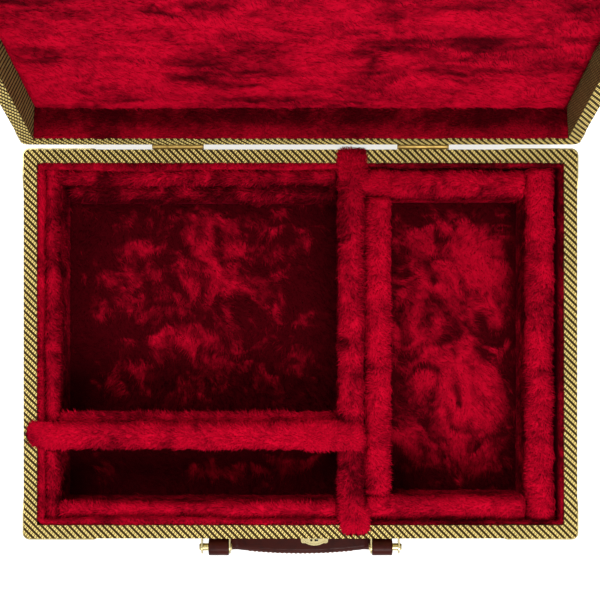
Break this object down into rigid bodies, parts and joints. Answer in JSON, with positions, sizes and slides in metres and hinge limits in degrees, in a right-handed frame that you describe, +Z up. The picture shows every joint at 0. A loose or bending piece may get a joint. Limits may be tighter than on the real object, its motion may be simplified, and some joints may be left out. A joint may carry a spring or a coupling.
{
  "type": "harmonica case",
  "caption": "Rectangular carrying case covered in woven tweed, with a hinged lid, plush-lined padded compartments, brass corner guards, a sprung lock and a drop handle.",
  "frame": {"origin": "centre of the underside of the base", "axes": "+Z up, -Y towards the front with the handle, +X to the right as seen from the front"},
  "size_m": [0.383, 0.3729, 0.333],
  "materials": {
    "plywood": "raw plywood",
    "tweed": "yellow and brown diagonal weave, lacquered",
    "plush": "crimson long-pile plush",
    "leather": "dark brown, smooth",
    "brass": "pressed and plated, bright",
    "steel": "plain"
  },
  "bodies": {
    "base": {"back_wall_pad": "plush", "base_back_board": "plywood", "base_bottom_board": "plywood", "base_bottom_tweed": "tweed", "base_floor_lining": "plush", "base_front_board": "plywood", "base_guard_back_left": "brass", "base_guard_back_right": "brass", "base_guard_front_left": "brass", "base_guard_front_right": "brass", "base_guard_nails": "brass", "base_hinge_rivets": "brass", "base_left_board": "plywood", "base_right_board": "plywood", "base_tweed_wrap": "tweed", "base_wall_lining": "plush", "cross_divider": "plush", "front_bay_left_pad": "plush", "front_rivets": "brass", "front_wall_pad": "plush", "handle_bracket_left": "brass", "handle_bracket_right": "brass", "handle_pin_left": "brass", "handle_pin_right": "brass", "hinge_base_leaf_left": "brass", "hinge_base_leaf_right": "brass", "hinge_pin_left": "brass", "hinge_pin_right": "brass", "left_wall_pad": "plush", "lock_case": "brass", "lock_spring": "steel", "long_divider": "plush", "right_bay_back_pad": "plush", "right_bay_front_pad": "plush", "right_bay_left_pad": "plush", "right_bay_right_pad": "plush"},
    "lid": {"hinge_lid_leaf_left": "brass", "hinge_lid_leaf_right": "brass", "lid_back_board": "plywood", "lid_front_board": "plywood", "lid_guard_back_left": "brass", "lid_guard_back_right": "brass", "lid_guard_front_left": "brass", "lid_guard_front_right": "brass", "lid_guard_nails": "brass", "lid_left_board": "plywood", "lid_right_board": "plywood", "lid_rivets": "brass", "lid_top_board": "plywood", "lid_top_pad": "plush", "lid_top_tweed": "tweed", "lid_tweed_wrap": "tweed", "lid_wall_lining": "plush", "lock_strike": "brass"},
    "handle": {"handle_grip": "leather", "handle_leg_left": "leather", "handle_leg_right": "leather"},
    "lock_slide": {"lock_button": "brass", "lock_bolt": "steel"}
  },
  "joints": [
    {"name": "lid_hinge", "type": "hinge", "parent": "base", "child": "lid", "pos_m": [0, 0.1358, 0.06615], "axis": [1, 0, 0], "range_deg": [0, 102.25]},
    {"name": "handle_swing", "type": "hinge", "parent": "base", "child": "handle", "pos_m": [0, -0.1425, 0.044], "axis": [-1, 0, 0], "range_deg": [0, 150]},
    {"name": "lock_button_slide", "type": "slide", "parent": "base", "child": "lock_slide", "axis": [1, 0, 0], "range_m": [0, 0.0025], "stiffness_N_per_m": 150, "springref_m": -0.002, "deforming": ["lock_spring"]}
  ]
}
